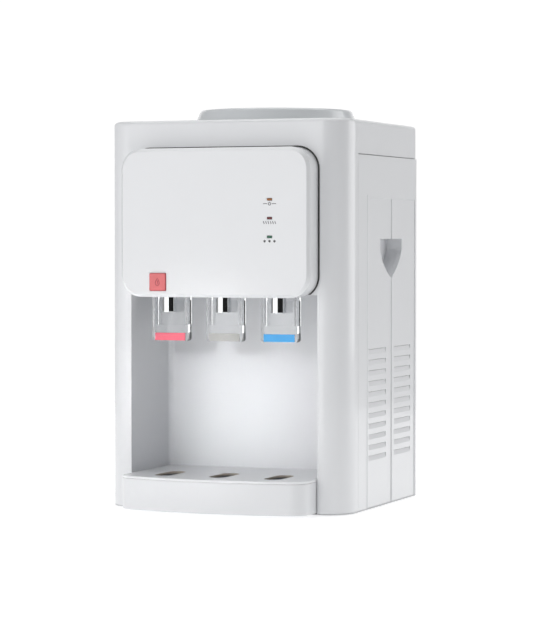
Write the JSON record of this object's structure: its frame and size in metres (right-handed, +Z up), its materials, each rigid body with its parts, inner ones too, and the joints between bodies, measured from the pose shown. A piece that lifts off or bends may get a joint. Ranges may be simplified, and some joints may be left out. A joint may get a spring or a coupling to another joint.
{
  "type": "countertop water dispenser",
  "caption": "Free-standing countertop dispenser for an upturned water bottle, with lever taps for hot, room-temperature and cold water, a child lock and a slide-out drip tray.",
  "frame": {"origin": "centre of the overall footprint, on the surface the feet stand on", "axes": "+Z up, front with the taps faces -Y, +X to the right seen from the front"},
  "size_m": [0.3014, 0.32, 0.47],
  "materials": {
    "white_abs": "glossy moulded ABS",
    "seat_abs": "glossy moulded ABS",
    "painted_steel": "powder coat",
    "foot_rubber": "matt",
    "tap_nylon": "satin",
    "chrome": "polished",
    "clear_plastic": "clear polished",
    "red_insert": "glossy",
    "grey_insert": "glossy",
    "blue_insert": "glossy",
    "steel": "brushed",
    "red_button": "glossy",
    "amber_lens": "clear tinted",
    "red_lens": "clear tinted",
    "green_lens": "clear tinted",
    "circuit_board": "satin",
    "black_plastic": "satin",
    "switch_red": "glossy",
    "switch_green": "glossy",
    "foam": "matt",
    "aluminium": "extruded",
    "ceramic": "matt",
    "drain_nylon": "satin",
    "silicone": "matt"
  },
  "bodies": {
    "cabinet": {"front_panel": "white_abs", "tap_cover": "white_abs", "top_cover": "white_abs", "left_side_panel": "white_abs", "right_side_panel": "white_abs", "base_plate": "painted_steel", "back_panel": "painted_steel", "foot_pads": "foot_rubber", "hot_tap_body": "tap_nylon", "ambient_tap_body": "tap_nylon", "cold_tap_body": "tap_nylon", "tap_nuts": "tap_nylon", "hot_spout_sleeve": "chrome", "ambient_spout_sleeve": "chrome", "cold_spout_sleeve": "chrome", "lever_pins": "steel", "housing_screws": "steel", "cold_tank": "steel", "hot_tank": "steel", "heater_band": "steel", "thermostats": "steel", "tank_bracket": "steel", "power_lens": "amber_lens", "heating_lens": "red_lens", "cooling_lens": "green_lens", "indicator_board": "circuit_board", "power_board": "circuit_board", "switch_frames": "black_plastic", "fan_frame": "black_plastic", "cord_gland": "black_plastic", "cold_tank_foam": "foam", "cold_block": "aluminium", "heat_sink": "aluminium", "cooling_chip": "ceramic", "drain_fitting": "drain_nylon", "hot_feed_hose": "silicone", "hot_outlet_hose": "silicone", "ambient_outlet_hose": "silicone", "cold_outlet_hose": "silicone"},
    "seat": {"bottle_seat": "seat_abs"},
    "child_lock": {"child_lock_button": "red_button", "child_lock_spring": "steel"},
    "tray": {"drip_tray": "white_abs"},
    "tray_lid": {"drip_grille": "white_abs"},
    "heating_rocker": {"heating_switch": "switch_red"},
    "cooling_rocker": {"cooling_switch": "switch_green"},
    "fan": {"fan_rotor": "black_plastic"},
    "drain_plug": {"drain_cap": "black_plastic"},
    "hot_lever_arm": {"hot_lever": "clear_plastic", "hot_lever_strip": "red_insert"},
    "hot_valve": {"hot_valve_stem": "tap_nylon", "hot_valve_spring": "steel"},
    "ambient_lever_arm": {"ambient_lever": "clear_plastic", "ambient_lever_strip": "grey_insert"},
    "ambient_valve": {"ambient_valve_stem": "tap_nylon", "ambient_valve_spring": "steel"},
    "cold_lever_arm": {"cold_lever": "clear_plastic", "cold_lever_strip": "blue_insert"},
    "cold_valve": {"cold_valve_stem": "tap_nylon", "cold_valve_spring": "steel"}
  },
  "joints": [
    {"name": "hot_lever_swing", "type": "hinge", "parent": "cabinet", "child": "hot_lever_arm", "pos_m": [-0.068, -0.118, 0.296], "axis": [1, 0, 0], "range_deg": [0, 18], "stiffness_Nm_per_rad": 0.25, "springref_deg": -11.46},
    {"name": "hot_valve_lift", "type": "slide", "parent": "cabinet", "child": "hot_valve", "axis": [0, 0, 1], "range_m": [0, 0.005], "deforming": ["hot_valve_spring"]},
    {"name": "ambient_lever_swing", "type": "hinge", "parent": "cabinet", "child": "ambient_lever_arm", "pos_m": [0, -0.118, 0.296], "axis": [1, 0, 0], "range_deg": [0, 18], "stiffness_Nm_per_rad": 0.25, "springref_deg": -11.46},
    {"name": "ambient_valve_lift", "type": "slide", "parent": "cabinet", "child": "ambient_valve", "axis": [0, 0, 1], "range_m": [0, 0.005], "deforming": ["ambient_valve_spring"]},
    {"name": "cold_lever_swing", "type": "hinge", "parent": "cabinet", "child": "cold_lever_arm", "pos_m": [0.068, -0.118, 0.296], "axis": [1, 0, 0], "range_deg": [0, 18], "stiffness_Nm_per_rad": 0.25, "springref_deg": -11.46},
    {"name": "cold_valve_lift", "type": "slide", "parent": "cabinet", "child": "cold_valve", "axis": [0, 0, 1], "range_m": [0, 0.005], "deforming": ["cold_valve_spring"]},
    {"name": "child_lock_press", "type": "slide", "parent": "cabinet", "child": "child_lock", "axis": [0, 1, 0], "range_m": [0, 0.003], "stiffness_N_per_m": 300, "springref_m": -0.001, "deforming": ["child_lock_spring"]},
    {"name": "tray_slide", "type": "slide", "parent": "cabinet", "child": "tray", "axis": [0, -1, 0], "range_m": [0, 0.18]},
    {"name": "tray_lid_lift", "type": "slide", "parent": "tray", "child": "tray_lid", "axis": [0, 0, 1], "range_m": [0, 0.05]},
    {"name": "bottle_seat_lift", "type": "slide", "parent": "cabinet", "child": "seat", "axis": [0, 0, 1], "range_m": [0, 0.11]},
    {"name": "heating_switch_rock", "type": "hinge", "parent": "cabinet", "child": "heating_rocker", "pos_m": [0.052, 0.1525, 0.122], "axis": [1, 0, 0], "range_deg": [0, 18]},
    {"name": "cooling_switch_rock", "type": "hinge", "parent": "cabinet", "child": "cooling_rocker", "pos_m": [0.084, 0.1525, 0.122], "axis": [1, 0, 0], "range_deg": [0, 18]},
    {"name": "fan_spin", "type": "hinge", "parent": "cabinet", "child": "fan", "pos_m": [0, 0.148, 0.316], "axis": [0, 1, 0], "continuous": true},
    {"name": "drain_cap_pull", "type": "slide", "parent": "cabinet", "child": "drain_plug", "axis": [0, 1, 0], "range_m": [0, 0.02]}
  ],
  "couplings": [
    {"joint": "hot_valve_lift", "follows": "hot_lever_swing", "m_per_rad": 0.0157},
    {"joint": "ambient_valve_lift", "follows": "ambient_lever_swing", "m_per_rad": 0.0157},
    {"joint": "cold_valve_lift", "follows": "cold_lever_swing", "m_per_rad": 0.0157}
  ]
}
